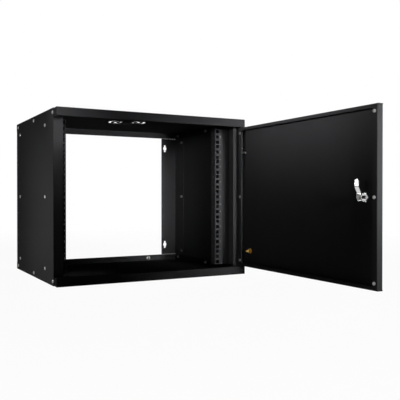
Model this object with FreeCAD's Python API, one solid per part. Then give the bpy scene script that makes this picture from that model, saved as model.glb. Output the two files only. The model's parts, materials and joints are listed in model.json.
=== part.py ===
import FreeCAD, Part
import math
import os

# Wall mount network cabinet of nine rack units, with its door open a quarter turn.
# Frame: for someone who faces the cabinet, +X is to the right, +Y goes towards the
# wall and +Z is up. The origin is the middle of the back's bottom edge, on the wall
# plane. All sizes are in millimetres.

# Cabinet
WIDTH = 550.0
DEPTH = 450.0
RACK_UNITS = 9
RACK_UNIT = 44.45
COVER_LIP = 22.5
COVER_RETURN = 16.0
COVER_FLANGE = 20.5
COVER_SHEET = 1.2
SIDE_SHEET = 1.2
BEND_RADIUS = 1.0
SIDE_FLANGE = 25.0
SIDE_SETBACK = 25.0
END_GAP = 0.5
CUT_PAST = 1.0

# Round ventilation field in the top cover, with the screw holes of a 120 mm fan
VENT_FROM_REAR = 226.0
VENT_RINGS = 3
VENT_FIRST_RADIUS = 20.0
VENT_RING_STEP = 15.5
VENT_SLOT = 8.0
VENT_BRIDGE = 7.0
VENT_SLOTS_A_RING = 4
FAN_HOLE_SPACING = 105.0
FAN_HOLE_RADIUS = 2.2

# 19 inch front rails
RAIL_SHEET = 1.5
RACK_OPENING = 450.0
RACK_HOLE_FROM_OPENING = 7.55
RACK_HOLE = 9.5
RACK_HOLE_STEP = 15.875
RACK_FIRST_HOLE = 6.35
HOLES_A_UNIT = 3
RAIL_FACE_BACK = 85.5
RAIL_RETURN = 25.0
RAIL_SIDE_LEG = 46.0
SIDE_HOLE_RADIUS = 3.0
SIDE_HOLE_EDGE = 12.5

# Rear posts with the wall slots
POST_WIDTH = 57.0
POST_LEG = 64.0
WALL_SLOT_FROM_SIDE = 44.3
WALL_SLOT_SPACING = 335.0
WALL_SLOT_WIDTH = 7.0
WALL_SLOT_LENGTH = 25.0
WALL_SLOT_EYE = 13.0
POST_HOLE_RADIUS = 3.0
POST_HOLE_FROM_SIDE = 10.0

# Side screws and nuts, M5
SCREW_RADIUS = 2.5
SCREW_LENGTH = 9.0
SCREW_CLEARANCE = 0.2
HEAD_RADIUS = 4.5
HEAD_HEIGHT = 2.6
NUT_ACROSS = 8.0
NUT_HEIGHT = 4.0
THREAD_CLEARANCE = 0.05
COVER_SCREW_FROM_FRONT = 27.0
COVER_SCREW_FROM_REAR = 27.0
COVER_SCREW_HEIGHT = 12.0
COLUMN_SCREW_INSET = 36.5
RAIL_SCREW_FROM_FACE = 17.5
POST_SCREW_FROM_REAR = 54.0

# Door
DOOR_SHEET = 1.2
DOOR_DEPTH = 16.0
DOOR_SIDE_GAP = 2.0
DOOR_END_GAP = 1.5
DOOR_TOP_LIP = 8.5
DOOR_SIDE_LIP = 15.0
DOOR_OPEN_DEG = 90.0
STRIP_WIDTH = 11.0
STRIP_THICK = 2.5
EDGE_SCREW_INSET = 9.0
EDGE_SCREW_END = 16.0
EDGE_SCREW_RADIUS = 2.0
EDGE_HEAD_RADIUS = 4.0
EDGE_HEAD_HEIGHT = 1.8
EDGE_SCREW_PAST = 0.3

# Hinges
PIN_RADIUS = 2.5
PIN_CLEARANCE = 0.05
PIN_FROM_SIDE = 7.0
PIN_FROM_FRONT = 8.0
PIN_PAST_COVER = 2.5
HANDLE_LENGTH = 21.0
HANDLE_DROP = 8.5
HANDLE_BEND = 4.0
BRACKET_TOP_BELOW = 9.0
BRACKET_HEIGHT = 54.0
BRACKET_WIDTH = 13.5
BRACKET_SHEET = 1.5
BRACKET_EAR = 10.3
CLIP_RADIUS = 3.5
CLIP_THICK = 1.0
RUN_GAP = 0.3
SPRING_WIRE = 0.4
SPRING_RADIUS = 3.1
SPRING_TURNS = 14
LOWER_PIN_HEAD = 4.5
LOWER_PIN_HEAD_HEIGHT = 2.0
LOWER_PIN_REACH = 7.0
WASHER_RADIUS = 5.0
WASHER_GAP = 0.1

# Cam lock
LOCK_FROM_EDGE = 49.0
LOCK_FACE_RADIUS = 11.0
LOCK_FACE_THICK = 2.5
LOCK_BODY_RADIUS = 8.0
LOCK_BODY_FLAT = 6.8
LOCK_BODY_LENGTH = 18.8
LOCK_HOLE_CLEARANCE = 0.2
LOCK_NUT_ACROSS = 19.0
LOCK_NUT_HEIGHT = 4.0
PLUG_RADIUS = 5.5
PLUG_PROUD = 0.5
PLUG_TAIL = 7.0
KEYWAY_LENGTH = 7.5
KEYWAY_WIDTH = 1.6
KEYWAY_DEPTH = 6.0
CAM_THICK = 2.0
CAM_HUB_RADIUS = 8.0
CAM_WIDTH = 12.0
CAM_REACH = 39.5
CAM_CRANK_START = 9.5
CAM_CRANK_END = 23.5
CAM_CRANK = 7.5
CAM_WASHER_RADIUS = 6.5
CAM_WASHER_THICK = 1.0
CAM_BOLT_RADIUS = 2.0
CAM_BOLT_LENGTH = 8.0
CAM_BOLT_ACROSS = 8.0
CAM_BOLT_HEAD = 3.0

# Earth studs, M6
STUD_RADIUS = 3.0
STUD_LENGTH = 14.0
STUD_WASHER_RADIUS = 7.0
STUD_WASHER_THICK = 1.2
STUD_NUT_ACROSS = 10.0
STUD_NUT_HEIGHT = 5.0
DOOR_STUD_FROM_HINGE_END = 41.0
DOOR_STUD_HEIGHT = 68.5
BODY_STUD_X = 168.0

# Worked out from the sizes above
HEIGHT = RACK_UNITS * RACK_UNIT + 2 * COVER_LIP
MIDDLE = HEIGHT / 2
HALF_WIDTH = WIDTH / 2
HALF_INSIDE = HALF_WIDTH - SIDE_SHEET
SIDE_FRONT = SIDE_SETBACK - DEPTH
RAIL_FACE = RAIL_FACE_BACK - DEPTH
POST_BACK = -SIDE_SHEET
RACK_HOLE_X = RACK_OPENING / 2 + RACK_HOLE_FROM_OPENING
WALL_SLOT_X = HALF_WIDTH - WALL_SLOT_FROM_SIDE
POST_HOLE_X = HALF_WIDTH - POST_HOLE_FROM_SIDE
FRAME_LOW = COVER_FLANGE + END_GAP
FRAME_HIGH = HEIGHT - FRAME_LOW
COVER_SCREW_FIRST = COVER_SCREW_FROM_FRONT - DEPTH
COVER_SCREW_PLACES = (
    COVER_SCREW_FIRST,
    (COVER_SCREW_FIRST - COVER_SCREW_FROM_REAR) / 2,
    -COVER_SCREW_FROM_REAR,
)
RAIL_SCREW_PLACE = RAIL_FACE + RAIL_SCREW_FROM_FACE
COLUMN_SCREW_HEIGHTS = (COLUMN_SCREW_INSET, MIDDLE, HEIGHT - COLUMN_SCREW_INSET)
WALL_SLOT_HEIGHTS = (MIDDLE - WALL_SLOT_SPACING / 2, MIDDLE + WALL_SLOT_SPACING / 2)
PIN_X = HALF_WIDTH - PIN_FROM_SIDE
PIN_Y = PIN_FROM_FRONT - DEPTH
DOOR_EDGE = HALF_WIDTH - DOOR_SIDE_GAP
DOOR_OUTER = -DEPTH
DOOR_SKIN_BACK = DOOR_OUTER + DOOR_SHEET
DOOR_INNER = DOOR_OUTER + DOOR_DEPTH
DOOR_LOW = COVER_LIP + DOOR_END_GAP
DOOR_HIGH = HEIGHT - COVER_LIP - DOOR_END_GAP
LOCK_X = LOCK_FROM_EDGE - DOOR_EDGE
CAM_FRONT = LOCK_BODY_LENGTH + RUN_GAP
CAM_BACK = CAM_FRONT + CAM_THICK

X_AXIS = FreeCAD.Vector(1, 0, 0)
Y_AXIS = FreeCAD.Vector(0, 1, 0)
Z_AXIS = FreeCAD.Vector(0, 0, 1)

# How an outline's two coordinates and its level become a point, by the axis it faces
PLACES = {
    "X": lambda u, v, level: FreeCAD.Vector(level, u, v),
    "Y": lambda u, v, level: FreeCAD.Vector(u, level, v),
    "Z": lambda u, v, level: FreeCAD.Vector(u, v, level),
}
DIRECTIONS = {"X": X_AXIS, "Y": Y_AXIS, "Z": Z_AXIS}


def box(x, y, z):
    """Block between the low and high value of each pair."""
    corner = FreeCAD.Vector(x[0], y[0], z[0])
    return Part.makeBox(x[1] - x[0], y[1] - y[0], z[1] - z[0], corner)


def rod(radius, start, direction, length):
    return Part.makeCylinder(radius, length, start, direction)


def hexagon(across, height):
    """Upright hexagonal prism on the XY plane."""
    corners = [
        FreeCAD.Vector(math.cos(math.radians(60 * i)), math.sin(math.radians(60 * i)), 0)
        * (across / math.sqrt(3))
        for i in range(7)
    ]
    return Part.Face(Part.makePolygon(corners)).extrude(Z_AXIS * height)


def put(shape, point, direction):
    """The shape, made upright at the origin, turned along a direction and moved to a point."""
    placed = shape.copy()
    placed.Placement = FreeCAD.Placement(point, FreeCAD.Rotation(Z_AXIS, direction))
    return placed


def mirrored(shape):
    """The same piece for the cabinet's left side."""
    return shape.mirror(FreeCAD.Vector(0, 0, 0), X_AXIS)


def prism(points, radii, axis, low, high):
    """Solid between two levels on an axis, whose outline's corners are rounded."""
    place = PLACES[axis]
    corners = [FreeCAD.Vector(u, v, 0) for u, v in points]
    edges = []
    joints = []
    for i, corner in enumerate(corners):
        before = (corner - corners[i - 1]).normalize()
        after = (corners[(i + 1) % len(corners)] - corner).normalize()
        turn = before.getAngle(after)
        if not radii[i] or turn < 1e-6:
            joints.append((corner, None, corner))
            continue
        reach = radii[i] * math.tan(turn / 2)
        inward = (after - before).normalize()
        bulge = radii[i] / math.cos(turn / 2) - radii[i]
        joints.append((corner - before * reach, corner + inward * bulge, corner + after * reach))
    for i, (start, middle, end) in enumerate(joints):
        start_of_next = joints[(i + 1) % len(joints)][0]
        if middle:
            arc = [place(p.x, p.y, low) for p in (start, middle, end)]
            edges.append(Part.Arc(*arc).toShape())
        if (start_of_next - end).Length > 1e-6:
            line = [place(p.x, p.y, low) for p in (end, start_of_next)]
            edges.append(Part.makeLine(*line))
    face = Part.Face(Part.Wire(Part.__sortEdges__(edges)))
    return face.extrude(DIRECTIONS[axis] * (high - low))


def folded(path, sheet, axis, low, high):
    """Sheet folded along a path of its outer face, with its metal to the path's left."""
    points = [FreeCAD.Vector(u, v, 0) for u, v in path]
    runs = [(b - a).normalize() for a, b in zip(points, points[1:])]
    lefts = [FreeCAD.Vector(-run.y, run.x, 0) for run in runs]
    inner = [points[0] + lefts[0] * sheet]
    outer_radii = [0]
    inner_radii = [0]
    for i in range(1, len(runs)):
        share = sheet / (1 + lefts[i - 1].dot(lefts[i]))
        inner.append(points[i] + (lefts[i - 1] + lefts[i]) * share)
        turns_left = runs[i - 1].cross(runs[i]).z > 0
        outer_radii.append(BEND_RADIUS + sheet if turns_left else BEND_RADIUS)
        inner_radii.append(BEND_RADIUS if turns_left else BEND_RADIUS + sheet)
    inner.append(points[-1] + lefts[-1] * sheet)
    outline = [(p.x, p.y) for p in points + inner[::-1]]
    radii = outer_radii + [0, 0] + inner_radii[::-1]
    return prism(outline, radii, axis, low, high)


def joined(shapes):
    """One clean solid from pieces of the same sheet."""
    return shapes[0].fuse(shapes[1:]).removeSplitter().Solids[0]


# ---------------------------------------------------------------- covers


def cover_blank():
    """Bottom cover: a pan with a front lip and return, two side flanges and a rear flange."""
    corner = BEND_RADIUS + COVER_SHEET
    front_path = (
        (COVER_RETURN - DEPTH, COVER_LIP),
        (-DEPTH, COVER_LIP),
        (-DEPTH, 0),
        (corner - DEPTH, 0),
    )
    rear_path = ((-corner, 0), (0, 0), (0, COVER_FLANGE))
    floor_path = (
        (-HALF_INSIDE, COVER_FLANGE),
        (-HALF_INSIDE, 0),
        (HALF_INSIDE, 0),
        (HALF_INSIDE, COVER_FLANGE),
    )
    front = folded(front_path, COVER_SHEET, "X", -HALF_INSIDE, HALF_INSIDE)
    rear = folded(rear_path, COVER_SHEET, "X", -HALF_INSIDE, HALF_INSIDE)
    floor = folded(floor_path, COVER_SHEET, "Y", corner - DEPTH, -corner)
    return joined([front, floor, rear])


def cover():
    """Bottom cover with its screw holes and the hole of the lower hinge pin."""
    radius = SCREW_RADIUS + SCREW_CLEARANCE
    cuts = [
        rod(radius, FreeCAD.Vector(-HALF_WIDTH, place, COVER_SCREW_HEIGHT), X_AXIS, WIDTH)
        for place in COVER_SCREW_PLACES
    ]
    pin_base = FreeCAD.Vector(PIN_X, PIN_Y, COVER_LIP - 2 * COVER_SHEET)
    cuts.append(rod(PIN_RADIUS + PIN_CLEARANCE, pin_base, Z_AXIS, 3 * COVER_SHEET))
    return cover_blank().cut(cuts)


def arc_slot(radius, middle_deg, sweep_deg):
    """Slot with round ends that follows a circle round the vent's centre."""
    half = VENT_SLOT / 2

    def at(distance, degrees):
        angle = math.radians(degrees)
        return FreeCAD.Vector(
            distance * math.cos(angle),
            distance * math.sin(angle) - VENT_FROM_REAR,
            HEIGHT - COVER_SHEET - CUT_PAST,
        )

    start = middle_deg - sweep_deg / 2
    end = middle_deg + sweep_deg / 2
    cap = math.degrees(half / radius)
    edges = [
        Part.Arc(at(radius + half, start), at(radius + half, middle_deg), at(radius + half, end)),
        Part.Arc(at(radius + half, end), at(radius, end + cap), at(radius - half, end)),
        Part.Arc(at(radius - half, end), at(radius - half, middle_deg), at(radius - half, start)),
        Part.Arc(at(radius - half, start), at(radius, start - cap), at(radius + half, start)),
    ]
    wire = Part.Wire([edge.toShape() for edge in edges])
    return Part.Face(wire).extrude(Z_AXIS * (COVER_SHEET + 2 * CUT_PAST))


def vent_cuts():
    """Rings of arc slots, and the four fan screw holes round them."""
    cuts = []
    share = 360 / VENT_SLOTS_A_RING
    for ring in range(VENT_RINGS):
        radius = VENT_FIRST_RADIUS + ring * VENT_RING_STEP
        sweep = share - math.degrees((VENT_BRIDGE + VENT_SLOT) / radius)
        for i in range(VENT_SLOTS_A_RING):
            cuts.append(arc_slot(radius, share * (i + ring / 2), sweep))
    half = FAN_HOLE_SPACING / 2
    for x in (-half, half):
        for y in (-half, half):
            start = FreeCAD.Vector(x, y - VENT_FROM_REAR, HEIGHT - 2 * COVER_SHEET)
            cuts.append(rod(FAN_HOLE_RADIUS, start, Z_AXIS, 3 * COVER_SHEET))
    return cuts


def top_cover():
    upside_down = cover().mirror(FreeCAD.Vector(0, 0, MIDDLE), Z_AXIS)
    return upside_down.cut(vent_cuts())


# ---------------------------------------------------------------- sides, rails and posts


def side_screw_places():
    """Place along Y and height of each group of screws on one side."""
    rows = (COVER_SCREW_HEIGHT, HEIGHT - COVER_SCREW_HEIGHT)
    return {
        "cover": [(place, height) for place in COVER_SCREW_PLACES for height in rows],
        "rail": [(RAIL_SCREW_PLACE, height) for height in COLUMN_SCREW_HEIGHTS],
        "post": [(-POST_SCREW_FROM_REAR, height) for height in COLUMN_SCREW_HEIGHTS],
    }


def side_holes(groups):
    """Cutters through the right side for the screws of the named groups."""
    places = side_screw_places()
    radius = SCREW_RADIUS + SCREW_CLEARANCE
    return [
        rod(radius, FreeCAD.Vector(HALF_WIDTH - SCREW_LENGTH, place, height), X_AXIS, 2 * SCREW_LENGTH)
        for group in groups
        for place, height in places[group]
    ]


def side_panel():
    """Right side: a sheet with a front and a rear flange between the covers' lips."""
    path = (
        (HALF_WIDTH - SIDE_FLANGE, SIDE_FRONT),
        (HALF_WIDTH, SIDE_FRONT),
        (HALF_WIDTH, 0),
        (HALF_WIDTH - SIDE_FLANGE, 0),
    )
    middle = folded(path, SIDE_SHEET, "Z", FRAME_LOW, FRAME_HIGH)
    sheet = (HALF_INSIDE, HALF_WIDTH)
    low = box(sheet, (SIDE_FRONT, 0), (0, FRAME_LOW))
    high = box(sheet, (SIDE_FRONT, 0), (FRAME_HIGH, HEIGHT))
    return joined([middle, low, high]).cut(side_holes(("cover", "rail", "post")))


def rack_hole_heights():
    """Height of every hole of the rack pattern, from the lowest unit up."""
    return [
        COVER_LIP + unit * RACK_UNIT + RACK_FIRST_HOLE + step * RACK_HOLE_STEP
        for unit in range(RACK_UNITS)
        for step in range(HOLES_A_UNIT)
    ]


def front_rail():
    """Right 19 inch rail: a channel with square holes in front and round ones inside."""
    inner = RACK_OPENING / 2
    path = (
        (inner, RAIL_FACE + RAIL_RETURN),
        (inner, RAIL_FACE),
        (HALF_INSIDE, RAIL_FACE),
        (HALF_INSIDE, RAIL_FACE + RAIL_SIDE_LEG),
    )
    rail = folded(path, RAIL_SHEET, "Z", FRAME_LOW, FRAME_HIGH)
    half = RACK_HOLE / 2
    across = (RACK_HOLE_X - half, RACK_HOLE_X + half)
    through = (RAIL_FACE - CUT_PAST, RAIL_FACE + 2 * RAIL_SHEET)
    side_hole_y = RAIL_FACE + RAIL_RETURN - SIDE_HOLE_EDGE
    cuts = side_holes(("rail",))
    for height in rack_hole_heights():
        cuts.append(box(across, through, (height - half, height + half)))
        start = FreeCAD.Vector(inner - CUT_PAST, side_hole_y, height)
        cuts.append(rod(SIDE_HOLE_RADIUS, start, X_AXIS, CUT_PAST + 2 * RAIL_SHEET))
    return rail.cut(cuts)


def wall_slot(height):
    """Cutter for one slot of the wall bolts: a round eye with a slot above and below."""
    half = WALL_SLOT_WIDTH / 2
    end = WALL_SLOT_LENGTH / 2 - half
    depth = 3 * RAIL_SHEET
    base_y = POST_BACK - 2 * RAIL_SHEET
    slot = box(
        (WALL_SLOT_X - half, WALL_SLOT_X + half), (base_y, base_y + depth), (height - end, height + end)
    )
    rounds = [
        rod(radius, FreeCAD.Vector(WALL_SLOT_X, base_y, height + shift), Y_AXIS, depth)
        for radius, shift in ((half, -end), (half, end), (WALL_SLOT_EYE / 2, 0))
    ]
    return slot.fuse(rounds)


def rear_post():
    """Right rear post: an angle with the wall slots and a column of small holes.

    It lies against the side's rear flange, which closes the small holes from behind.
    """
    path = (
        (HALF_INSIDE, -POST_LEG), (HALF_INSIDE, POST_BACK), (HALF_WIDTH - POST_WIDTH, POST_BACK)
    )
    post = folded(path, RAIL_SHEET, "Z", FRAME_LOW, FRAME_HIGH)
    cuts = side_holes(("post",)) + [wall_slot(height) for height in WALL_SLOT_HEIGHTS]
    for height in rack_hole_heights():
        start = FreeCAD.Vector(POST_HOLE_X, POST_BACK - 2 * RAIL_SHEET, height)
        cuts.append(rod(POST_HOLE_RADIUS, start, Y_AXIS, 3 * RAIL_SHEET))
    return post.cut(cuts)


# ---------------------------------------------------------------- screws and nuts


def pan_screw(radius, length, head_radius, head_height):
    """Upright pan head screw: head above the XY plane, shank below, with a cross recess."""
    head = Part.makeCylinder(head_radius, head_height)
    head = head.makeFillet(head_height * 0.6, [head.Edges[0]])
    shank = rod(radius, FreeCAD.Vector(0, 0, 0), -Z_AXIS, length)
    arm = head_radius * 0.55
    wing = head_radius * 0.14
    recess = (head_height * 0.45, head_height + CUT_PAST)
    cross = box((-arm, arm), (-wing, wing), recess).fuse(box((-wing, wing), (-arm, arm), recess))
    return head.fuse(shank).cut(cross).removeSplitter()


def hex_nut(radius, across, height):
    start = FreeCAD.Vector(0, 0, -CUT_PAST)
    bore = rod(radius + THREAD_CLEARANCE, start, Z_AXIS, height + 2 * CUT_PAST)
    return hexagon(across, height).cut(bore)


def ring(outer, inner, thick):
    bore = rod(inner, FreeCAD.Vector(0, 0, -CUT_PAST), Z_AXIS, thick + 2 * CUT_PAST)
    return Part.makeCylinder(outer, thick).cut(bore)


def side_screws(group):
    """The right side's screws of one group, with their heads on the outer face."""
    screw = pan_screw(SCREW_RADIUS, SCREW_LENGTH, HEAD_RADIUS, HEAD_HEIGHT)
    return Part.makeCompound([
        put(screw, FreeCAD.Vector(HALF_WIDTH, place, height), X_AXIS)
        for place, height in side_screw_places()[group]
    ])


def side_nuts(group, sheet):
    """The nuts of one group, against the inner face of the sheet that they clamp."""
    nut = hex_nut(SCREW_RADIUS, NUT_ACROSS, NUT_HEIGHT)
    return Part.makeCompound([
        put(nut, FreeCAD.Vector(HALF_INSIDE - sheet, place, height), -X_AXIS)
        for place, height in side_screw_places()[group]
    ])


# ---------------------------------------------------------------- door, made closed


def opened(shape):
    """A piece of the closed door, swung open about the hinge pins."""
    swung = shape.copy()
    swung.rotate(FreeCAD.Vector(PIN_X, PIN_Y, 0), Z_AXIS, DOOR_OPEN_DEG)
    return swung


def lock_point(depth):
    """Point on the lock's axis, at a depth behind the door's outer face."""
    return FreeCAD.Vector(LOCK_X, DOOR_OUTER + depth, MIDDLE)


def flatted(radius, flat, length):
    """Upright cylinder with a flat on its left and right."""
    block = box((-flat, flat), (-radius, radius), (0, length))
    return Part.makeCylinder(radius, length).common(block)


def edge_screw_points(side):
    """Places of the three screws of the door's hinge edge (side 1) or lock edge (side -1)."""
    x = side * (DOOR_EDGE - EDGE_SCREW_INSET)
    heights = (DOOR_LOW + EDGE_SCREW_END, MIDDLE, DOOR_HIGH - EDGE_SCREW_END)
    return [FreeCAD.Vector(x, DOOR_INNER, height) for height in heights]


def door_panel():
    """Door pan: skin, four folded edges and their returns, with all its holes."""
    corner = BEND_RADIUS + DOOR_SHEET
    across_path = (
        (DOOR_SIDE_LIP - DOOR_EDGE, DOOR_INNER),
        (-DOOR_EDGE, DOOR_INNER),
        (-DOOR_EDGE, DOOR_OUTER),
        (DOOR_EDGE, DOOR_OUTER),
        (DOOR_EDGE, DOOR_INNER),
        (DOOR_EDGE - DOOR_SIDE_LIP, DOOR_INNER),
    )
    low_path = (
        (DOOR_INNER, DOOR_LOW + DOOR_TOP_LIP),
        (DOOR_INNER, DOOR_LOW),
        (DOOR_OUTER, DOOR_LOW),
        (DOOR_OUTER, DOOR_LOW + corner),
    )
    between = folded(across_path, DOOR_SHEET, "Z", DOOR_LOW + corner, DOOR_HIGH - corner)
    reversed_low = low_path[::-1]
    low = folded(reversed_low, DOOR_SHEET, "X", -DOOR_EDGE, DOOR_EDGE)
    high = low.mirror(FreeCAD.Vector(0, 0, MIDDLE), Z_AXIS)
    pin_hole = rod(
        PIN_RADIUS + PIN_CLEARANCE, FreeCAD.Vector(PIN_X, PIN_Y, COVER_LIP), Z_AXIS, HEIGHT
    )
    lock_hole = put(
        flatted(
            LOCK_BODY_RADIUS + LOCK_HOLE_CLEARANCE,
            LOCK_BODY_FLAT + LOCK_HOLE_CLEARANCE,
            3 * DOOR_SHEET,
        ),
        lock_point(-DOOR_SHEET),
        Y_AXIS,
    )
    screw_holes = [
        rod(EDGE_SCREW_RADIUS + SCREW_CLEARANCE, point - Y_AXIS * 2 * DOOR_SHEET, Y_AXIS, DOOR_DEPTH)
        for side in (1, -1)
        for point in edge_screw_points(side)
    ]
    return joined([between, low, high]).cut([pin_hole, lock_hole] + screw_holes)


def edge_strip(side):
    """Stiffening strip behind a side return, which the three screws of that edge hold."""
    face = DOOR_INNER - DOOR_SHEET
    bend = DOOR_SHEET + BEND_RADIUS
    middle_x = side * (DOOR_EDGE - EDGE_SCREW_INSET)
    strip = box(
        (middle_x - STRIP_WIDTH / 2 + side, middle_x + STRIP_WIDTH / 2 + side),
        (face - STRIP_THICK, face),
        (DOOR_LOW + bend + END_GAP, DOOR_HIGH - bend - END_GAP),
    )
    return strip.cut([
        rod(EDGE_SCREW_RADIUS + THREAD_CLEARANCE, point - Y_AXIS * DOOR_DEPTH, Y_AXIS, DOOR_DEPTH)
        for point in edge_screw_points(side)
    ])


def edge_screws():
    """The six low head screws on the door's inner face."""
    length = DOOR_SHEET + STRIP_THICK + EDGE_SCREW_PAST
    screw = pan_screw(EDGE_SCREW_RADIUS, length, EDGE_HEAD_RADIUS, EDGE_HEAD_HEIGHT)
    points = edge_screw_points(1) + edge_screw_points(-1)
    return Part.makeCompound([put(screw, point, Y_AXIS) for point in points])


# ---------------------------------------------------------------- hinges


def bracket_levels():
    """Height of the upper hinge bracket's top and bottom faces."""
    top = DOOR_HIGH - BRACKET_TOP_BELOW
    return top - BRACKET_HEIGHT, top


def hinge_bracket():
    """U bracket on the door's skin, whose two ears guide the upper pin.

    Its base is cut back along one edge, where the pan's bend is.
    """
    low, high = bracket_levels()
    tip = DOOR_SKIN_BACK + BRACKET_EAR
    path = ((tip, high), (DOOR_SKIN_BACK, high), (DOOR_SKIN_BACK, low), (tip, low))
    right = DOOR_EDGE - DOOR_SHEET - RUN_GAP
    bracket = folded(path, BRACKET_SHEET, "X", right - BRACKET_WIDTH, right)
    hole_start = FreeCAD.Vector(PIN_X, PIN_Y, low - CUT_PAST)
    hole = rod(PIN_RADIUS + PIN_CLEARANCE, hole_start, Z_AXIS, HEIGHT)
    bend_x = DOOR_EDGE - DOOR_SHEET - BEND_RADIUS
    bend_y = DOOR_SKIN_BACK + BRACKET_SHEET + BEND_RADIUS
    relief = box((bend_x, DOOR_EDGE), (DOOR_SKIN_BACK, bend_y), (low, high))
    return bracket.cut([hole, relief])


def upper_pin():
    """Spring pin: a straight pin through both ears, bent at its foot into a finger handle."""
    low, _ = bracket_levels()
    top = HEIGHT - COVER_LIP + COVER_SHEET + PIN_PAST_COVER
    foot = low - HANDLE_DROP
    bend = FreeCAD.Vector(PIN_X - HANDLE_BEND, PIN_Y, foot + HANDLE_BEND)
    turn = HANDLE_BEND * math.cos(math.radians(45))
    start = FreeCAD.Vector(PIN_X, PIN_Y, top)
    bend_start = FreeCAD.Vector(PIN_X, PIN_Y, bend.z)
    bend_middle = FreeCAD.Vector(bend.x + turn, PIN_Y, bend.z - turn)
    bend_end = FreeCAD.Vector(bend.x, PIN_Y, foot)
    end = FreeCAD.Vector(PIN_X - HANDLE_LENGTH, PIN_Y, foot)
    route = Part.Wire([
        Part.makeLine(start, bend_start),
        Part.Arc(bend_start, bend_middle, bend_end).toShape(),
        Part.makeLine(bend_end, end),
    ])
    section = Part.Wire([Part.makeCircle(PIN_RADIUS, start, Z_AXIS)])
    return route.makePipeShell([section], True, False)


def clip_level():
    """Height of the clip's lower face, with its top just under the upper ear."""
    _, high = bracket_levels()
    return high - BRACKET_SHEET - RUN_GAP - CLIP_THICK


def pin_clip():
    """Retaining clip on the upper pin, which the spring pushes up."""
    clip = ring(CLIP_RADIUS, PIN_RADIUS, CLIP_THICK)
    return put(clip, FreeCAD.Vector(PIN_X, PIN_Y, clip_level()), Z_AXIS)


def hinge_spring():
    """Open coil spring round the upper pin, between the lower ear and the clip."""
    low, _ = bracket_levels()
    start = low + BRACKET_SHEET + SPRING_WIRE
    height = clip_level() - SPRING_WIRE - start
    helix = Part.makeHelix(height / SPRING_TURNS, height, SPRING_RADIUS)
    section = Part.Wire([Part.makeCircle(SPRING_WIRE, FreeCAD.Vector(SPRING_RADIUS, 0, 0), Y_AXIS)])
    coil = Part.Wire(helix.Edges).makePipeShell([section], True, True)
    return put(coil, FreeCAD.Vector(PIN_X, PIN_Y, start), Z_AXIS)


def lower_pin():
    """Fixed pin that stands up from the bottom cover's return into the door."""
    underside = COVER_LIP - COVER_SHEET
    base = FreeCAD.Vector(PIN_X, PIN_Y, underside - LOWER_PIN_HEAD_HEIGHT)
    head = rod(LOWER_PIN_HEAD, base, Z_AXIS, LOWER_PIN_HEAD_HEIGHT)
    shaft = rod(PIN_RADIUS, base, Z_AXIS, DOOR_LOW + DOOR_SHEET + LOWER_PIN_REACH - base.z)
    return head.fuse(shaft).removeSplitter()


def lower_washer():
    """Washer on the lower pin that carries the door."""
    washer = ring(WASHER_RADIUS, PIN_RADIUS + PIN_CLEARANCE, DOOR_END_GAP - WASHER_GAP)
    return put(washer, FreeCAD.Vector(PIN_X, PIN_Y, COVER_LIP), Z_AXIS)


# ---------------------------------------------------------------- cam lock


def lock_housing():
    """Round face outside the door and a flatted body through it, bored for the plug."""
    face = Part.makeCylinder(LOCK_FACE_RADIUS, LOCK_FACE_THICK)
    face = face.makeFillet(LOCK_FACE_THICK * 0.5, [face.Edges[2]])
    face.translate(-Z_AXIS * LOCK_FACE_THICK)
    body = flatted(LOCK_BODY_RADIUS, LOCK_BODY_FLAT, LOCK_BODY_LENGTH)
    bore = rod(
        PLUG_RADIUS + PIN_CLEARANCE,
        FreeCAD.Vector(0, 0, -LOCK_FACE_THICK - CUT_PAST),
        Z_AXIS,
        LOCK_BODY_LENGTH + LOCK_FACE_THICK + 2 * CUT_PAST,
    )
    return put(face.fuse(body).cut(bore), lock_point(0), Y_AXIS)


def lock_nut():
    """Large hexagonal nut that clamps the housing to the skin."""
    hole = flatted(
        LOCK_BODY_RADIUS + THREAD_CLEARANCE, LOCK_BODY_FLAT + THREAD_CLEARANCE, LOCK_NUT_HEIGHT
    )
    nut = hexagon(LOCK_NUT_ACROSS, LOCK_NUT_HEIGHT).cut(hole)
    return put(nut, lock_point(DOOR_SHEET), Y_AXIS)


def lock_plug():
    """Turning plug with a keyway in front and a square tail that carries the cam."""
    front = -LOCK_FACE_THICK - PLUG_PROUD
    plug = rod(PLUG_RADIUS, FreeCAD.Vector(0, 0, front), Z_AXIS, CAM_FRONT - front)
    half = PLUG_TAIL / 2
    tail = box((-half, half), (-half, half), (CAM_FRONT, CAM_BACK))
    keyway = box(
        (-KEYWAY_WIDTH / 2, KEYWAY_WIDTH / 2),
        (-KEYWAY_LENGTH / 2, KEYWAY_LENGTH / 2),
        (front - CUT_PAST, front + KEYWAY_DEPTH),
    )
    thread = rod(
        CAM_BOLT_RADIUS + THREAD_CLEARANCE,
        FreeCAD.Vector(0, 0, CAM_BACK - CAM_BOLT_LENGTH - CUT_PAST),
        Z_AXIS,
        CAM_BOLT_LENGTH + 2 * CUT_PAST,
    )
    return put(plug.fuse(tail).cut([keyway, thread]).removeSplitter(), lock_point(0), Y_AXIS)


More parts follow.
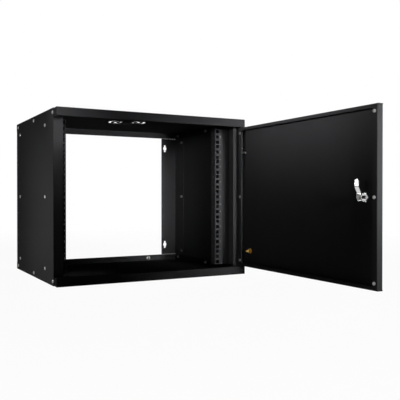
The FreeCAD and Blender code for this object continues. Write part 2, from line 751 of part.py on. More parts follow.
def lock_cam():
    """Cranked cam, pointing up, with a round hub, a round tip and a square hole."""
    hub_y = DOOR_OUTER + CAM_FRONT
    tip_y = hub_y + CAM_CRANK
    path = (
        (hub_y, MIDDLE - CAM_HUB_RADIUS - CUT_PAST),
        (hub_y, MIDDLE + CAM_CRANK_START),
        (tip_y, MIDDLE + CAM_CRANK_END),
        (tip_y, MIDDLE + CAM_REACH + CUT_PAST),
    )
    metal = folded(path[::-1], CAM_THICK, "X", LOCK_X - CAM_HUB_RADIUS, LOCK_X + CAM_HUB_RADIUS)
    depth = CAM_BACK + CAM_CRANK + CUT_PAST
    half = CAM_WIDTH / 2
    hub = rod(CAM_HUB_RADIUS, lock_point(0), Y_AXIS, depth)
    tip_point = lock_point(0) + Z_AXIS * (CAM_REACH - half)
    tip = rod(half, tip_point, Y_AXIS, depth)
    arm = box((LOCK_X - half, LOCK_X + half), (DOOR_OUTER, DOOR_OUTER + depth), (MIDDLE, tip_point.z))
    hole = PLUG_TAIL / 2 + THREAD_CLEARANCE
    square = box(
        (LOCK_X - hole, LOCK_X + hole),
        (DOOR_OUTER, DOOR_INNER + depth),
        (MIDDLE - hole, MIDDLE + hole),
    )
    return metal.common(hub.fuse([tip, arm])).cut(square).removeSplitter()


def cam_washer():
    washer = ring(CAM_WASHER_RADIUS, CAM_BOLT_RADIUS + SCREW_CLEARANCE, CAM_WASHER_THICK)
    return put(washer, lock_point(CAM_BACK), Y_AXIS)


def cam_bolt():
    """Hexagonal bolt that holds the cam and its washer on the plug."""
    shank = rod(CAM_BOLT_RADIUS, FreeCAD.Vector(0, 0, 0), -Z_AXIS, CAM_BOLT_LENGTH)
    bolt = hexagon(CAM_BOLT_ACROSS, CAM_BOLT_HEAD).fuse(shank).removeSplitter()
    return put(bolt, lock_point(CAM_BACK + CAM_WASHER_THICK), Y_AXIS)


# ---------------------------------------------------------------- earth studs


def earth_stud(point, direction):
    """Welded stud with its washer and nut, seated at a point on a sheet."""
    stud = Part.makeCylinder(STUD_RADIUS, STUD_LENGTH)
    washer = ring(STUD_WASHER_RADIUS, STUD_RADIUS + SCREW_CLEARANCE, STUD_WASHER_THICK)
    nut = hex_nut(STUD_RADIUS, STUD_NUT_ACROSS, STUD_NUT_HEIGHT)
    return {
        "stud": put(stud, point, direction),
        "washer": put(washer, point, direction),
        "nut": put(nut, point + direction * STUD_WASHER_THICK, direction),
    }


def door_earth():
    point = FreeCAD.Vector(DOOR_EDGE - DOOR_STUD_FROM_HINGE_END, DOOR_SKIN_BACK, DOOR_STUD_HEIGHT)
    return {name: opened(piece) for name, piece in earth_stud(point, Y_AXIS).items()}


def body_earth():
    point = FreeCAD.Vector(BODY_STUD_X, -COVER_SHEET, COVER_FLANGE / 2)
    return earth_stud(point, -Y_AXIS)


# ---------------------------------------------------------------- the whole cabinet


def right_hand_pieces():
    """Every piece that the left side repeats as a mirror image."""
    return {
        "side_panel": side_panel(),
        "front_rail": front_rail(),
        "rear_post": rear_post(),
        "cover_screws": side_screws("cover"),
        "rail_screws": side_screws("rail"),
        "post_screws": side_screws("post"),
        "cover_nuts": side_nuts("cover", COVER_SHEET),
        "rail_nuts": side_nuts("rail", RAIL_SHEET),
        "post_nuts": side_nuts("post", RAIL_SHEET),
    }


def door_pieces():
    """Every piece that hangs on the door, in the closed position."""
    return {
        "door_panel": door_panel(),
        "door_hinge_strip": edge_strip(1),
        "door_lock_strip": edge_strip(-1),
        "door_edge_screws": edge_screws(),
        "upper_hinge_bracket": hinge_bracket(),
        "upper_hinge_pin": upper_pin(),
        "hinge_pin_clip": pin_clip(),
        "hinge_spring": hinge_spring(),
        "lock_housing": lock_housing(),
        "lock_nut": lock_nut(),
        "lock_plug": lock_plug(),
        "lock_cam": lock_cam(),
        "cam_washer": cam_washer(),
        "cam_bolt": cam_bolt(),
    }


def all_pieces():
    pieces = {
        "top_cover": top_cover(),
        "bottom_cover": cover(),
        "lower_hinge_pin": lower_pin(),
        "lower_hinge_washer": lower_washer(),
    }
    for name, shape in right_hand_pieces().items():
        pieces["right_" + name] = shape
        pieces["left_" + name] = mirrored(shape)
    for name, shape in door_pieces().items():
        pieces[name] = opened(shape)
    for name, shape in door_earth().items():
        pieces["door_earth_" + name] = shape
    for name, shape in body_earth().items():
        pieces["body_earth_" + name] = shape
    return pieces


def main():
    os.makedirs("parts", exist_ok=True)
    for name, shape in all_pieces().items():
        shape.exportStep(f"parts/{name}.step")


main()
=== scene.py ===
import bmesh
import bpy
import json
import math
from mathutils import Matrix, Vector


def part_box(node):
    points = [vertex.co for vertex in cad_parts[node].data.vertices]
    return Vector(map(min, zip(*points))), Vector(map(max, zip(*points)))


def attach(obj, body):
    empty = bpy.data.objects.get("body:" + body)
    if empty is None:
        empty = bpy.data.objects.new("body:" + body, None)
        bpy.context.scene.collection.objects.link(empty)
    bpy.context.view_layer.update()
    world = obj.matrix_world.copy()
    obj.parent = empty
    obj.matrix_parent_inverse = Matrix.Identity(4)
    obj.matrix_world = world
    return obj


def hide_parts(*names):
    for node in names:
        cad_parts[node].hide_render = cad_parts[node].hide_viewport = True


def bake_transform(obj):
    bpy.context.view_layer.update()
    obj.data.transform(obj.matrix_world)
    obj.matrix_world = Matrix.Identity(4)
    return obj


# Wall mount network cabinet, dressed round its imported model. All lengths are in metres,
# in the model's own frame: +X to the right, +Y to the wall, +Z up.

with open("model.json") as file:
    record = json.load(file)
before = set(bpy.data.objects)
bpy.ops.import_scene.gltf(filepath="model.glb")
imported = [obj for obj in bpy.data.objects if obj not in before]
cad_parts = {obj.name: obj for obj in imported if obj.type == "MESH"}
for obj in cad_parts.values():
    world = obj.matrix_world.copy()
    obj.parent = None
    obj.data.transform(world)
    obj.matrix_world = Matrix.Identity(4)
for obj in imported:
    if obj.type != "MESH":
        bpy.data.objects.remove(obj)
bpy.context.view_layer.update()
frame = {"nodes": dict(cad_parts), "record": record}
record = frame["record"]
MM = 0.001

# ---------------------------------------------------------------- tones and finishes
# A depth is a share of the record's tone. A relief is its depth and its strength.

SLOT_TONE = {entry["slot"]: (*entry["base_color"], 1.0) for entry in record["materials"]}
NODE_SLOT = {entry["node"]: entry["material_slot"] for entry in record["subparts"]}
PAINT_TONE = (0.16, 0.16, 0.16, 1.0)
FLOOR_TONE = (0.80, 0.80, 0.80, 1.0)
DEEP_BRASS = (0.52, 0.33, 0.09, 1.0)
COAT_DEPTH = 1.33
COAT_GLOSS = 0.05
COAT_ROUGHNESS = 0.92
COAT_ROUGHNESS_DRIFT = 0.05
COAT_PATCHINESS = 0.15
COAT_RELIEF = (0.04 * MM, 0.25)
COAT_DUST = 0.1
DUST_LIFT = 3.0
ZINC_DEPTH = 0.36
ZINC_ROUGHNESS = 0.42
CHROME_DEPTH = 0.82
CHROME_ROUGHNESS = 0.2
CHROME_VARIATION = 0.12
BRASS_ROUGHNESS = 0.3
SPRING_ROUGHNESS = 0.3
METAL_VARIATION = 0.15
METAL_ROUGHNESS_DRIFT = 0.06
METAL_RELIEF = (0.02 * MM, 0.15)
NYLON_GRAIN = 2500.0
NYLON_VARIATION = 0.2
NYLON_ROUGHNESS = (0.5, 0.65)
NYLON_RELIEF = (0.03 * MM, 0.3)
INK_GRAIN = 2000.0
INK_GLOSS = 0.2
INK_THIN, INK_FULL = 0.7, 1.1
INK_ROUGHNESS = (0.55, 0.7)
INK_RELIEF = (0.01 * MM, 0.2)

# ---------------------------------------------------------------- studio

WHITE_LEVEL = 1.0
AMBIENT_LEVEL = 0.025
FLOOR_LIT_SHARE = 0.045
FLOOR_SHADOW_REACH = (0.7, 2.2)
FLOOR_HALF = 9.0
FLOOR_DROP = 0.4 * MM
FLOOR_MOTTLE = 0.01
# Name, place, target, size, spread of the grid in degrees, level.
LAMPS = [
    ("left_rear_box", (-1.045, 0.416, 0.255), (-0.277, -0.5, 0.15), (0.4, 0.4), 20, 2.62),
    ("door_edge_box", (0.345, -3.456, 0.355), (0.45, -0.46, 0.25), (0.3, 0.5), 18, 3.36),
    ("rear_post_box", (-0.122, -2.397, 0.534), (0.25, -0.05, 0.2), (0.3, 0.3), 8, 2.69),
    ("door_box", (-0.977, -0.7, 0.56), (0.279, -0.7, 0.57), (0.5, 0.3), 24, 6.00),
    ("rail_strip", (-1.5, -1.35, 0.23), (0.262, -0.375, 0.23), (0.04, 0.5), 4.5, 2.10),
    ("rear_lip_strip", (-0.08, -2.6, 0.12), (-0.03, 0.0, 0.432), (0.5, 0.03), 3, 6.29),
    ("corner_box", (0.036, -2.933, 1.173), (-0.4, -0.46, 0.5), (0.3, 0.3), 8, 8.25),
    ("front_box", (0.374, -2.637, 0.656), (0.45, -0.46, 0.35), (0.3, 0.5), 12, 9.76),
    ("rail_box", (-1.635, -2.378, 0.457), (0.25, -0.05, 0.3), (0.3, 0.3), 8, 0.65),
    ("post_box", (-1.05, -2.3, 0.24), (0.235, -0.064, 0.24), (0.1, 0.6), 5, 0.92),
    ("back_soft_box", (2.1, 1.6, 0.15), (0.1, -0.1, 0.24), (0.9, 0.2), 30, 1.5),
    ("top_soft_box", (0.62, -0.15, 2.4), (0.05, -0.25, 0.445), (0.4, 0.4), 22, 0.95),
]

# ---------------------------------------------------------------- camera

CAMERA_PLACE = Vector((-0.6743, -1.9172, 0.2266))
CAMERA_HEADING = math.radians(28.631)
CAMERA_DROP = math.radians(0.44)
CAMERA_LENS = 54.35
CAMERA_SENSOR = 36.0

# ---------------------------------------------------------------- rack and printing

RACK_UNIT = 44.45 * MM
RACK_UNITS = 9
DIGIT_HEIGHT = 5.2 * MM
TICK_LENGTH = 4.0 * MM
TICK_WIDTH = 0.9 * MM
MARK_FROM_INNER_EDGE = 17.0 * MM
PAINT_THICK = 0.06 * MM
DIGIT_SHARE_OF_TYPE = 0.7
WELD_DISTANCE = 0.001 * MM

# ---------------------------------------------------------------- threads and coil

STUD_PITCH = 1.0 * MM
STUD_THREAD_DEPTH = 0.5 * MM
STUD_CHAMFER = 0.6 * MM
STUD_FLANGE_RADIUS = 4.2 * MM
STUD_FLANGE_EDGE = 0.5 * MM
STUD_FLANGE_THICK = 0.8 * MM
STUD_SIDES = 24
STUD_FLANGE_SIDES = 40
THREAD_STEPS = 8
SPRING_WIRE = 0.4 * MM
SPRING_TURNS = 14
SPRING_STEPS_A_TURN = 28
SPRING_WIRE_SIDES = 10
LOCK_PITCH = 1.5 * MM
LOCK_THREAD_DEPTH = 0.7 * MM
LOCK_BODY_RADIUS = 8.0 * MM
LOCK_BODY_FLAT = 6.8 * MM
LOCK_BORE_RADIUS = 5.6 * MM
LOCK_FACE_RADIUS = 11.0 * MM
LOCK_FACE_THICK = 2.5 * MM
LOCK_FACE_ROUNDING = 1.2 * MM
LOCK_FACE_SHOULDER = 0.35 * MM
LOCK_RUN_OUT = 1.0 * MM
LOCK_SIDES = 72
LOCK_SMOOTH_DEG = 25.0
SMOOTH_DEG = 35.0


# ================================================================ shading helpers


def new_group(name, inputs, outputs):
    """Empty node group. Inputs are (name, kind, value) and outputs (name, kind)."""
    group = bpy.data.node_groups.new(name, "ShaderNodeTree")
    kinds = {"value": "NodeSocketFloat", "vector": "NodeSocketVector"}
    for label, kind, start in inputs:
        socket = group.interface.new_socket(name=label, in_out="INPUT", socket_type=kinds[kind])
        if start is not None:
            socket.default_value = start
    for label, kind in outputs:
        group.interface.new_socket(name=label, in_out="OUTPUT", socket_type=kinds[kind])
    return group, group.nodes.new("NodeGroupInput"), group.nodes.new("NodeGroupOutput")


def feed(tree, socket, value):
    """Sets an input socket to a value, or links it from another node's output."""
    if isinstance(value, bpy.types.NodeSocket):
        tree.links.new(value, socket)
    else:
        socket.default_value = value


def add_node(tree, kind, settings=None, **values):
    """Node of a kind with its settings. Inputs go by name, or as i0, i1 by number."""
    node = tree.nodes.new(kind)
    for key, value in (settings or {}).items():
        setattr(node, key, value)
    for key, value in values.items():
        numbered = key[1:].isdigit()
        feed(tree, node.inputs[int(key[1:]) if numbered else key.replace("_", " ")], value)
    return node


def maths(tree, operation, first, second, clamp=False):
    """Sum or product of two values."""
    settings = {"operation": operation, "use_clamp": clamp}
    return add_node(tree, "ShaderNodeMath", settings, i0=first, i1=second).outputs[0]


def spread(tree, value, low, high):
    """A mask from 0 to 1, spread between two values."""
    node = add_node(tree, "ShaderNodeMapRange", None, Value=value, To_Min=low, To_Max=high)
    return node.outputs[0]


def blend_colours(tree, factor, first, second):
    """Mix of two colours. The mix node's colours are its inputs 6 and 7 and its output 2."""
    settings = {"data_type": "RGBA"}
    return add_node(tree, "ShaderNodeMix", settings, i0=factor, i6=first, i7=second).outputs[2]


def place(tree):
    """Coordinates fixed to the piece."""
    return add_node(tree, "ShaderNodeTexCoord").outputs["Object"]


def orange_peel_group():
    """The fine ripple of sprayed powder, with the pin points between its grains."""
    inputs = [("Place", "vector", None), ("Grain", "value", 900.0), ("Pin Points", "value", 0.3)]
    group, start, end = new_group("orange_peel", inputs, [("Height", "value"), ("Mask", "value")])
    ripple = add_node(
        group, "ShaderNodeTexNoise", None,
        Vector=start.outputs["Place"], Scale=start.outputs["Grain"], Detail=3.0, Roughness=0.55,
    )
    pins_scale = maths(group, "MULTIPLY", start.outputs["Grain"], 1.7)
    pins = add_node(
        group, "ShaderNodeTexVoronoi", {"feature": "F1"},
        Vector=start.outputs["Place"], Scale=pins_scale, Randomness=1.0,
    )
    dips = maths(group, "MULTIPLY", pins.outputs["Distance"], start.outputs["Pin Points"])
    height = maths(group, "ADD", ripple.outputs[0], dips)
    group.links.new(height, end.inputs["Height"])
    group.links.new(ripple.outputs[0], end.inputs["Mask"])
    return group


def handling_group():
    """Cloudy patches from wiping and handling, and a thin settling of dust on upward faces."""
    inputs = [("Place", "vector", None), ("Patch Size", "value", 7.0), ("Dust", "value", 0.3)]
    outputs = [("Patches", "value"), ("Dust", "value")]
    group, start, end = new_group("handling", inputs, outputs)
    patches = add_node(
        group, "ShaderNodeTexNoise", None,
        Vector=start.outputs["Place"], Scale=start.outputs["Patch Size"], Detail=5.0, Roughness=0.6,
    )
    specks = add_node(
        group, "ShaderNodeTexNoise", None,
        Vector=start.outputs["Place"], Scale=420.0, Detail=2.0,
    )
    upward = add_node(
        group, "ShaderNodeSeparateXYZ", None,
        Vector=group.nodes.new("ShaderNodeNewGeometry").outputs["Normal"],
    )
    lying = maths(group, "MULTIPLY", upward.outputs[2], specks.outputs[0], clamp=True)
    dust = maths(group, "MULTIPLY", lying, start.outputs["Dust"], clamp=True)
    group.links.new(patches.outputs[0], end.inputs["Patches"])
    group.links.new(dust, end.inputs["Dust"])
    return group


def metal_grain_group():
    """Fine grain of plated or turned metal, with small bright and dull flecks."""
    inputs = [("Place", "vector", None), ("Grain", "value", 1500.0), ("Flecks", "value", 300.0)]
    group, start, end = new_group("metal_grain", inputs, [("Height", "value"), ("Flecks", "value")])
    grain = add_node(
        group, "ShaderNodeTexNoise", None,
        Vector=start.outputs["Place"], Scale=start.outputs["Grain"], Detail=2.0,
    )
    flecks = add_node(
        group, "ShaderNodeTexNoise", None,
        Vector=start.outputs["Place"], Scale=start.outputs["Flecks"], Detail=4.0, Roughness=0.7,
    )
    group.links.new(grain.outputs[0], end.inputs["Height"])
    group.links.new(flecks.outputs[0], end.inputs["Flecks"])
    return group


ORANGE_PEEL = orange_peel_group()
HANDLING = handling_group()
METAL_GRAIN = metal_grain_group()


def put_group(tree, group, **values):
    """Places a shared effect in a material, with this material's own values."""
    return add_node(tree, "ShaderNodeGroup", {"node_tree": group}, **values)


def new_material(name):
    """Material with a Principled shader, its tree and that shader."""
    material = bpy.data.materials.new(name)
    material.use_nodes = True
    return material, material.node_tree, material.node_tree.nodes["Principled BSDF"]


def finish_shader(tree, shader, colour, roughness, height, relief):
    """Links a colour, roughness and relief into the shader."""
    depth, strength = relief
    bump = add_node(
        tree, "ShaderNodeBump", None,
        Height=height, Distance=depth, Strength=strength,
    )
    tree.links.new(colour, shader.inputs["Base Color"])
    tree.links.new(roughness, shader.inputs["Roughness"])
    tree.links.new(bump.outputs["Normal"], shader.inputs["Normal"])


def shade(colour, factor):
    """A colour made darker or lighter."""
    return (*(channel * factor for channel in colour[:3]), 1.0)


def powder_coat(name, tone, gloss):
    """Black sprayed coat. Gloss is the strength of its reflection."""
    material, tree, shader = new_material(name)
    here = place(tree)
    peel = put_group(tree, ORANGE_PEEL, Place=here)
    marks = put_group(tree, HANDLING, Place=here, Dust=COAT_DUST)
    low, high = shade(tone, 1 - COAT_PATCHINESS), shade(tone, 1 + COAT_PATCHINESS)
    coat = blend_colours(tree, marks.outputs["Patches"], low, high)
    dusty = blend_colours(tree, marks.outputs["Dust"], coat, shade(tone, DUST_LIFT))
    rough = spread(
        tree, marks.outputs["Patches"],
        COAT_ROUGHNESS - COAT_ROUGHNESS_DRIFT, COAT_ROUGHNESS + COAT_ROUGHNESS_DRIFT,
    )
    finish_shader(tree, shader, dusty, rough, peel.outputs["Height"], COAT_RELIEF)
    shader.inputs["Specular IOR Level"].default_value = gloss
    return material


def plated(name, tone, roughness, variation=METAL_VARIATION):
    """Plated or bare metal with a fine grain and faint flecks."""
    material, tree, shader = new_material(name)
    fine = put_group(tree, METAL_GRAIN, Place=place(tree))
    low, high = shade(tone, 1 - variation), shade(tone, 1 + variation)
    colour = blend_colours(tree, fine.outputs["Flecks"], low, high)
    rough = spread(
        tree, fine.outputs["Flecks"],
        roughness - METAL_ROUGHNESS_DRIFT, roughness + METAL_ROUGHNESS_DRIFT,
    )
    finish_shader(tree, shader, colour, rough, fine.outputs["Height"], METAL_RELIEF)
    shader.inputs["Metallic"].default_value = 1.0
    return material


def nylon(name, tone):
    """Moulded washer nylon, slightly cloudy."""
    material, tree, shader = new_material(name)
    peel = put_group(tree, ORANGE_PEEL, Place=place(tree), Grain=NYLON_GRAIN)
    low, high = shade(tone, 1 - NYLON_VARIATION), shade(tone, 1 + NYLON_VARIATION)
    colour = blend_colours(tree, peel.outputs["Mask"], low, high)
    rough = spread(tree, peel.outputs["Mask"], *NYLON_ROUGHNESS)
    finish_shader(tree, shader, colour, rough, peel.outputs["Height"], NYLON_RELIEF)
    return material


def rack_print(name, tone):
    """Screen printed marks, slightly uneven where the ink is thin."""
    material, tree, shader = new_material(name)
    peel = put_group(tree, ORANGE_PEEL, Place=place(tree), Grain=INK_GRAIN)
    low, high = shade(tone, INK_THIN), shade(tone, INK_FULL)
    colour = blend_colours(tree, peel.outputs["Mask"], low, high)
    rough = spread(tree, peel.outputs["Mask"], *INK_ROUGHNESS)
    finish_shader(tree, shader, colour, rough, peel.outputs["Height"], INK_RELIEF)
    shader.inputs["Specular IOR Level"].default_value = INK_GLOSS
    return material


BLACK = shade(SLOT_TONE["black_powder_coat"], COAT_DEPTH)
ZINC = shade(SLOT_TONE["zinc_plated_steel"], ZINC_DEPTH)
CHROME = shade(SLOT_TONE["polished_chrome"], CHROME_DEPTH)
PAN_COAT = powder_coat("black_pan_coat_finish", BLACK, 0.0)
MATERIALS = {
    "black_powder_coat": powder_coat("black_powder_coat_finish", BLACK, COAT_GLOSS),
    "zinc_plated_steel": plated("zinc_plating", ZINC, ZINC_ROUGHNESS),
    "polished_chrome": plated("polished_lock_plating", CHROME, CHROME_ROUGHNESS, CHROME_VARIATION),
    "brass": plated("turned_brass", DEEP_BRASS, BRASS_ROUGHNESS),
    "black_nylon": nylon("black_nylon_finish", SLOT_TONE["black_nylon"]),
    "spring_steel": plated("spring_wire_steel", SLOT_TONE["spring_steel"], SPRING_ROUGHNESS),
}
PAINT = rack_print("rail_marking_ink", PAINT_TONE)

FLAT_PANS = ("top_cover", "bottom_cover")
for node, slot in NODE_SLOT.items():
    materials = frame["nodes"][node].data.materials
    materials.clear()
    materials.append(PAN_COAT if node in FLAT_PANS else MATERIALS[slot])


# ================================================================ mesh helpers


def mesh_piece(name, built, slot, body=None, material=None, smooth_deg=SMOOTH_DEG):
    """Turns a bmesh into a piece with its finish. It rides on a body, if one is given."""
    mesh = bpy.data.meshes.new(name)
    bmesh.ops.recalc_face_normals(built, faces=built.faces)
    built.to_mesh(mesh)
    built.free()
    piece = bpy.data.objects.new(name, mesh)
    bpy.context.scene.collection.objects.link(piece)
    mesh.materials.append(material or MATERIALS[slot])
    mesh.shade_smooth()
    mesh.set_sharp_from_angle(angle=math.radians(smooth_deg))
    if body:
        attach(piece, body)
    return piece


def axis_frame(origin, direction):
    """Placement whose Z runs along a direction from an origin."""
    turn = Vector(direction).to_track_quat("Z", "Y").to_matrix().to_4x4()
    return Matrix.Translation(Vector(origin)) @ turn


def ring_points(built, radii, level, placement):
    """Ring of points round a placement's Z, at a level, with a radius for each point."""
    points = []
    for i, radius in enumerate(radii):
        angle = math.tau * i / len(radii)
        spot = Vector((radius * math.cos(angle), radius * math.sin(angle), level))
        points.append(built.verts.new(placement @ spot))
    return points


def bridge(built, first, second):
    """Band of faces between two rings."""
    count = len(first)
    for i in range(count):
        built.faces.new((first[i], first[(i + 1) % count], second[(i + 1) % count], second[i]))


def loft(built, rings):
    """Closed solid through rings of points, with a face at each end."""
    previous = None
    for ring in rings:
        if previous:
            bridge(built, previous, ring)
        else:
            built.faces.new(list(reversed(ring)))
        previous = ring
    built.faces.new(previous)


def thread_groove(level, pitch, share, depth):
    """Depth of a helical thread's groove at a level and a share of a turn."""
    phase = (level / pitch - share) % 1.0
    return depth * (1.0 - abs(2.0 * phase - 1.0))


def threaded_rod(built, placement, radius, length):
    """Upright rod with a helical thread, which runs out into a chamfer at its far end."""
    count = max(2, round(length / STUD_PITCH * THREAD_STEPS))
    rings = []
    for k in range(count + 1):
        level = length * k / count
        limit = radius - max(0.0, STUD_CHAMFER - (length - level))
        radii = []
        for i in range(STUD_SIDES):
            groove = thread_groove(level, STUD_PITCH, i / STUD_SIDES, STUD_THREAD_DEPTH)
            radii.append(min(limit, radius - groove))
        rings.append(ring_points(built, radii, level, placement))
    loft(built, rings)


def disc(built, placement, profile):
    """Turned solid from (radius, level) points, closed at both ends."""
    rings = []
    for radius, level in profile:
        rings.append(ring_points(built, [radius] * STUD_FLANGE_SIDES, level, placement))
    loft(built, rings)


# ================================================================ pieces


def text_outline(characters, height, centre):
    """Flat faces of a number, upright in the XZ plane and seen from the front."""
    curve = bpy.data.curves.new("unit_number", "FONT")
    curve.body = characters
    curve.size = height / DIGIT_SHARE_OF_TYPE
    curve.align_x = "CENTER"
    curve.align_y = "CENTER"
    curve.extrude = PAINT_THICK / 2
    shaper = bpy.data.objects.new("unit_number", curve)
    mesh = bpy.data.meshes.new_from_object(shaper)
    stand = Matrix.Translation(centre) @ Matrix.Rotation(math.radians(90), 4, "X")
    mesh.transform(stand)
    bpy.data.objects.remove(shaper)
    bpy.data.curves.remove(curve)
    return mesh


def block(built, low, high):
    """Thin printed bar between two corners."""
    xs, ys, zs = zip(low, high)
    points = [built.verts.new((x, y, z)) for x in xs for y in ys for z in zs]
    ends = ((0, 1, 3, 2), (4, 6, 7, 5))
    around = ((0, 4, 5, 1), (2, 3, 7, 6), (0, 2, 6, 4), (1, 5, 7, 3))
    for face in ends + around:
        built.faces.new([points[i] for i in face])


def rail_marks(side, sign):
    """Numbers at the middle of each unit and short ticks between units, on a rail's face."""
    low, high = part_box(f"{side}_front_rail")
    inner = low.x if sign > 0 else high.x
    x = inner + sign * MARK_FROM_INNER_EDGE
    front = low.y - PAINT_THICK / 2
    middle = (low.z + high.z) / 2
    first = middle - RACK_UNITS * RACK_UNIT / 2
    built = bmesh.new()
    for unit in range(RACK_UNITS):
        centre = Vector((x, front, first + (unit + 0.5) * RACK_UNIT))
        mesh = text_outline(str(unit + 1), DIGIT_HEIGHT, centre)
        built.from_mesh(mesh)
        bpy.data.meshes.remove(mesh)
    for unit in range(1, RACK_UNITS):
        z = first + unit * RACK_UNIT
        block(
            built,
            (x - TICK_LENGTH / 2, front - PAINT_THICK / 2, z - TICK_WIDTH / 2),
            (x + TICK_LENGTH / 2, front + PAINT_THICK / 2, z + TICK_WIDTH / 2),
        )
    bmesh.ops.remove_doubles(built, verts=built.verts, dist=WELD_DISTANCE)
    mesh_piece(f"{side}_rail_marks", built, "black_powder_coat", "cabinet", PAINT)


rail_marks("right", 1)
rail_marks("left", -1)


def earth_stud(node, body, slot, direction):
    """Threaded stud with a small welded flange, in place of the plain one."""
    low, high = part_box(node)
    middle = (low + high) / 2
    way = Vector(direction)
    half = abs((high - low).dot(way)) / 2
    base = middle - way * half
    radius = (high - low).dot(Vector((0, 0, 1))) / 2
    built = bmesh.new()
    placement = axis_frame(base, way)
    threaded_rod(built, placement, radius, 2 * half)
    flange = (
        (STUD_FLANGE_RADIUS, 0.0),
        (STUD_FLANGE_RADIUS, STUD_FLANGE_EDGE),
        (radius, STUD_FLANGE_THICK),
    )
    disc(built, placement, flange)
    piece = mesh_piece(f"threaded_{node}", built, slot, body)
    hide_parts(node)


earth_stud("door_earth_stud", "door", "brass", (-1, 0, 0))
earth_stud("body_earth_stud", "cabinet", "zinc_plated_steel", (0, -1, 0))


def lock_body():
    """Lock housing: a rounded face outside the door and a threaded body with two flats."""
    low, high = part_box("lock_housing")
    middle = (low + high) / 2
    placement = axis_frame((high.x, middle.y, middle.z), (-1, 0, 0))
    length = high.x - low.x
    bore = [LOCK_BORE_RADIUS] * LOCK_SIDES
    built = bmesh.new()
    first_bore = ring_points(built, bore, 0.0, placement)
    last_bore = ring_points(built, bore, length, placement)
    bridge(built, last_bore, first_bore)
    face_outline = (
        (LOCK_FACE_RADIUS - LOCK_FACE_ROUNDING, 0.0),
        (LOCK_FACE_RADIUS - LOCK_FACE_SHOULDER, LOCK_FACE_SHOULDER),
        (LOCK_FACE_RADIUS, LOCK_FACE_ROUNDING),
        (LOCK_FACE_RADIUS, LOCK_FACE_THICK),
    )
    previous = first_bore
    for radius, level in face_outline:
        ring = ring_points(built, [radius] * LOCK_SIDES, level, placement)
        bridge(built, previous, ring)
        previous = ring
    body_length = length - LOCK_FACE_THICK
    count = round(body_length / LOCK_PITCH * THREAD_STEPS)
    for k in range(count + 1):
        level = body_length * k / count
        run_out = max(0.0, LOCK_RUN_OUT - (body_length - level))
        radii = []
        for i in range(LOCK_SIDES):
            share = i / LOCK_SIDES
            groove = thread_groove(level, LOCK_PITCH, share, LOCK_THREAD_DEPTH)
            radius = LOCK_BODY_RADIUS - max(groove, run_out)
            across = radius * abs(math.cos(math.tau * share))
            radii.append(radius * min(1.0, LOCK_BODY_FLAT / across))
        ring = ring_points(built, radii, LOCK_FACE_THICK + level, placement)
        bridge(built, previous, ring)
        previous = ring
    bridge(built, previous, last_bore)
    piece = mesh_piece(
        "threaded_lock_housing", built, "polished_chrome", "door", smooth_deg=LOCK_SMOOTH_DEG
    )
    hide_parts("lock_housing")


lock_body()


def hinge_coil():
    """Coil spring from the door's bracket up to the pin's clip, in place of the plain one."""
    low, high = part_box("hinge_spring")
    middle = (low + high) / 2
    radius = (high.x - low.x) / 2 - SPRING_WIRE
    foot, top = low.z + SPRING_WIRE, high.z - SPRING_WIRE
    count = SPRING_TURNS * SPRING_STEPS_A_TURN
    built = bmesh.new()
    rings = []
    for k in range(count + 1):
        turn = math.tau * k / SPRING_STEPS_A_TURN
        out = Vector((math.cos(turn), math.sin(turn), 0.0))
        rise = foot + (top - foot) * k / count
        centre = Vector((middle.x, middle.y, rise)) + out * radius
        ring = []
        for i in range(SPRING_WIRE_SIDES):
            angle = math.tau * i / SPRING_WIRE_SIDES
            offset = out * math.cos(angle) + Vector((0.0, 0.0, math.sin(angle)))
            ring.append(built.verts.new(centre + offset * SPRING_WIRE))
        rings.append(ring)
    loft(built, rings)
    piece = mesh_piece("hinge_coil_spring", built, "spring_steel")
    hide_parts("hinge_spring")
    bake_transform(piece)


hinge_coil()


# ================================================================ floor, light and camera


def mix_shaders(tree, share, first, second, output):
    """Mixes two shaders by a share and links them to the surface."""
    mix = add_node(
        tree, "ShaderNodeMixShader", None,
        i0=share, i1=first.outputs[0], i2=second.outputs[0],
    )
    tree.links.new(mix.outputs[0], output.inputs["Surface"])


def shows_white(tree):
    """Mask of the camera, reflections and clear glass, to which the studio is plain white."""
    ray = tree.nodes.new("ShaderNodeLightPath")
    outputs = ray.outputs
    seen = maths(tree, "ADD", outputs["Is Camera Ray"], outputs["Is Glossy Ray"], clamp=True)
    return maths(tree, "ADD", seen, outputs["Is Transmission Ray"], clamp=True)


def studio_paper():
    """White paper, with a share of real light that keeps the shadow and fades outwards."""
    material = bpy.data.materials.new("studio_floor")
    material.use_nodes = True
    tree = material.node_tree
    tree.nodes.clear()
    output = tree.nodes.new("ShaderNodeOutputMaterial")
    grain = add_node(tree, "ShaderNodeTexNoise", None, Vector=place(tree), Scale=35.0, Detail=3.0)
    low, high = shade(FLOOR_TONE, 1 - FLOOR_MOTTLE), shade(FLOOR_TONE, 1 + FLOOR_MOTTLE)
    tone = blend_colours(tree, grain.outputs[0], low, high)
    paper = add_node(tree, "ShaderNodeBsdfDiffuse", None, Color=tone)
    white = add_node(tree, "ShaderNodeEmission", None, Color=(1, 1, 1, 1), Strength=WHITE_LEVEL)
    reach = add_node(tree, "ShaderNodeVectorMath", {"operation": "LENGTH"}, i0=place(tree))
    near, far = FLOOR_SHADOW_REACH
    fading = add_node(
        tree, "ShaderNodeMapRange", None,
        Value=reach.outputs["Value"], From_Min=near, From_Max=far, To_Min=1.0 - FLOOR_LIT_SHARE,
    )
    share = maths(tree, "MULTIPLY", shows_white(tree), fading.outputs[0])
    mix_shaders(tree, share, paper, white, output)
    return material


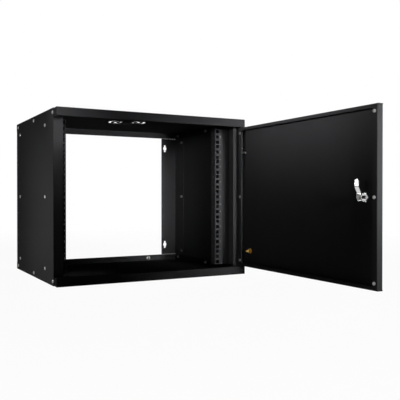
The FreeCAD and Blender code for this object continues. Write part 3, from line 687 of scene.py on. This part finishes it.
def floor_piece():
    """Wide plain floor, a little under the cabinet's underside."""
    mesh = bpy.data.meshes.new("floor")
    built = bmesh.new()
    half = FLOOR_HALF
    corners = ((-half, -half), (half, -half), (half, half), (-half, half))
    built.faces.new([built.verts.new((x, y, -FLOOR_DROP)) for x, y in corners])
    built.to_mesh(mesh)
    built.free()
    mesh.materials.append(studio_paper())
    piece = bpy.data.objects.new("floor", mesh)
    bpy.context.scene.collection.objects.link(piece)


floor_piece()


def studio_world():
    """Faint light from all round, plain white where it is seen."""
    world = bpy.data.worlds.new("studio")
    bpy.context.scene.world = world
    world.use_nodes = True
    tree = world.node_tree
    tree.nodes.clear()
    output = tree.nodes.new("ShaderNodeOutputWorld")
    dim = add_node(tree, "ShaderNodeBackground", None, Color=(1, 1, 1, 1), Strength=AMBIENT_LEVEL)
    white = add_node(tree, "ShaderNodeBackground", None, Color=(1, 1, 1, 1), Strength=WHITE_LEVEL)
    mix_shaders(tree, shows_white(tree), dim, white, output)


studio_world()


def soft_lamp(name, position, target, size, spread_deg, level):
    """Soft box with a grid of a spread. Level is a white card's brightness in the beam's middle."""
    data = bpy.data.lights.new(name, "AREA")
    data.shape = "RECTANGLE"
    data.size, data.size_y = size
    data.spread = math.radians(spread_deg)
    away = Vector(target) - Vector(position)
    half = data.spread / 2
    gathered = 1.0 - half / math.tan(half)
    data.energy = level * gathered * math.pi * math.pi * away.length_squared
    lamp = bpy.data.objects.new(name, data)
    bpy.context.scene.collection.objects.link(lamp)
    lamp.location = position
    lamp.rotation_euler = away.to_track_quat("-Z", "Y").to_euler()


for entry in LAMPS:
    soft_lamp(*entry)

camera_data = bpy.data.cameras.new("camera")
camera_data.sensor_width = CAMERA_SENSOR
camera_data.lens = CAMERA_LENS
camera = bpy.data.objects.new("camera", camera_data)
bpy.context.scene.collection.objects.link(camera)
camera.location = CAMERA_PLACE
camera.rotation_euler = (math.radians(90) - CAMERA_DROP, 0.0, -CAMERA_HEADING)
bpy.context.scene.camera = camera
bpy.context.scene.view_settings.view_transform = "Standard"
